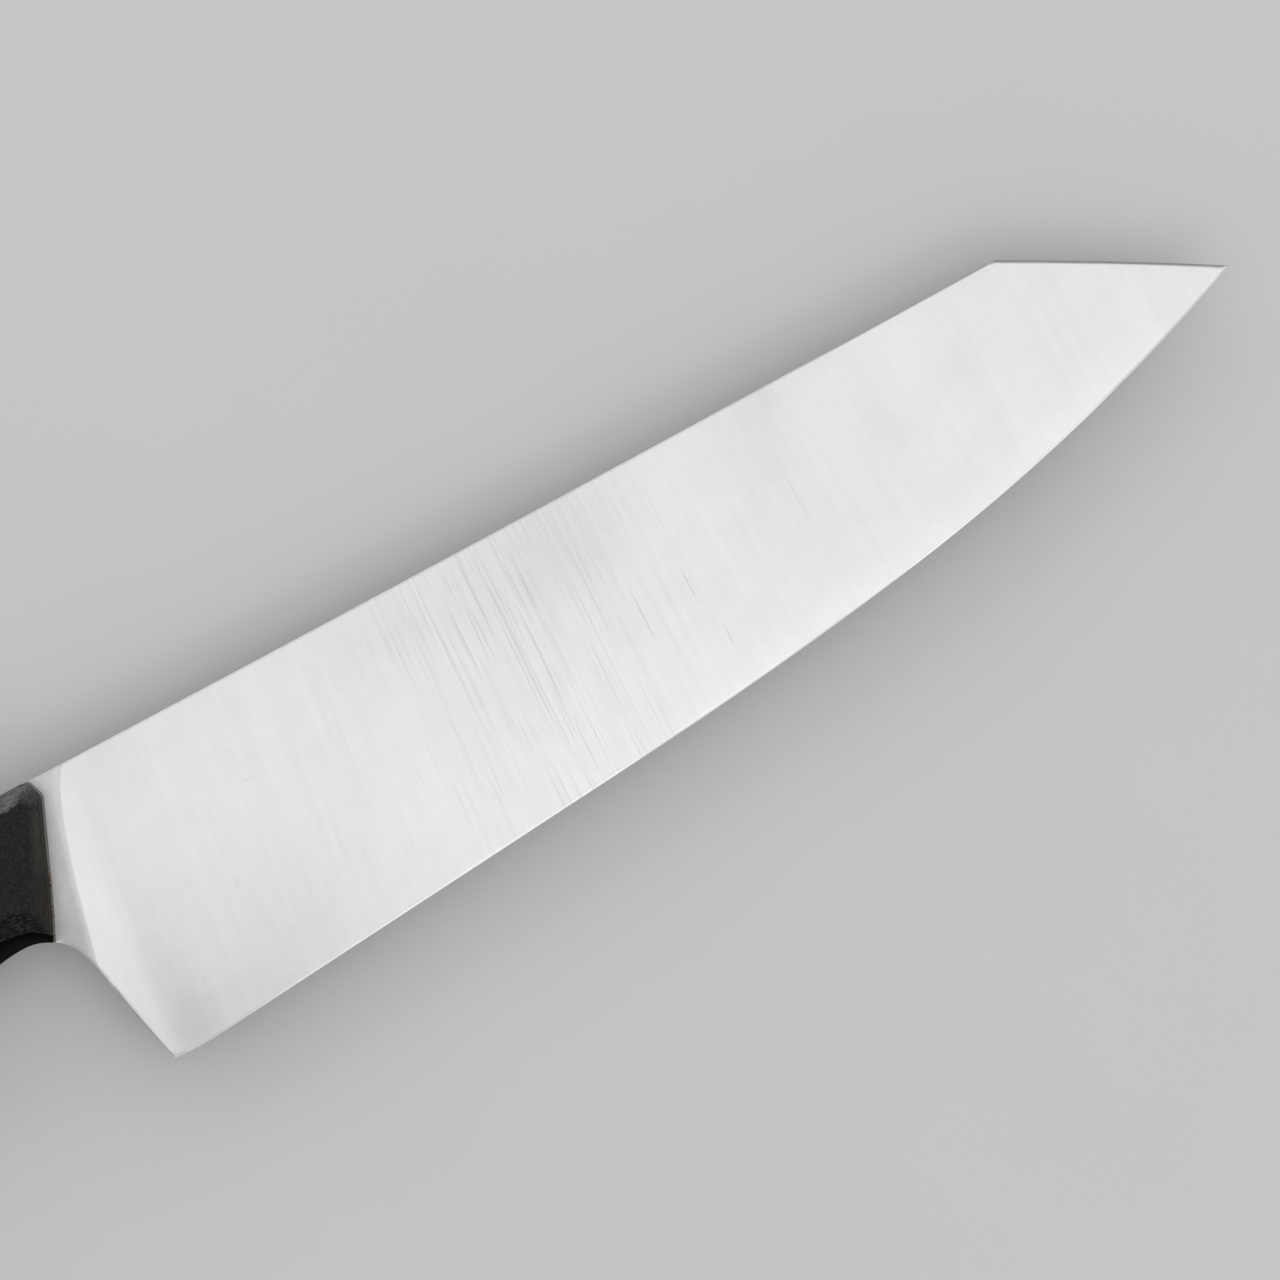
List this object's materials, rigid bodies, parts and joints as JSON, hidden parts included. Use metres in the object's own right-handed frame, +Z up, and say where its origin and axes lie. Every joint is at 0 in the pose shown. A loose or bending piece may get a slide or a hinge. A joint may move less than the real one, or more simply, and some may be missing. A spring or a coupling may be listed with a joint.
{
  "type": "kiritsuke knife",
  "caption": "Kitchen knife with a clipped kiritsuke tip, satin flat-ground blade, full tang and faceted black laminate handle scales.",
  "frame": {"origin": "under the middle of the knife's bounding box, on the surface that it lies on", "axes": "+X along the spine towards the tip, +Y from the cutting edge towards the spine, +Z up, out of the right side; the knife lies on its left scale"},
  "size_m": [0.34, 0.0508, 0.02],
  "materials": {
    "satin_steel": "satin",
    "canvas_laminate": "matte",
    "fibre_liner": "matte",
    "bolt_steel": "satin"
  },
  "bodies": {
    "root": {"blade": "satin_steel", "right_scale": "canvas_laminate", "left_scale": "canvas_laminate", "right_liner": "fibre_liner", "left_liner": "fibre_liner", "front_bolt_barrel": "bolt_steel", "front_bolt_screw": "bolt_steel", "middle_bolt_barrel": "bolt_steel", "middle_bolt_screw": "bolt_steel", "rear_bolt_barrel": "bolt_steel", "rear_bolt_screw": "bolt_steel"}
  },
  "joints": []
}
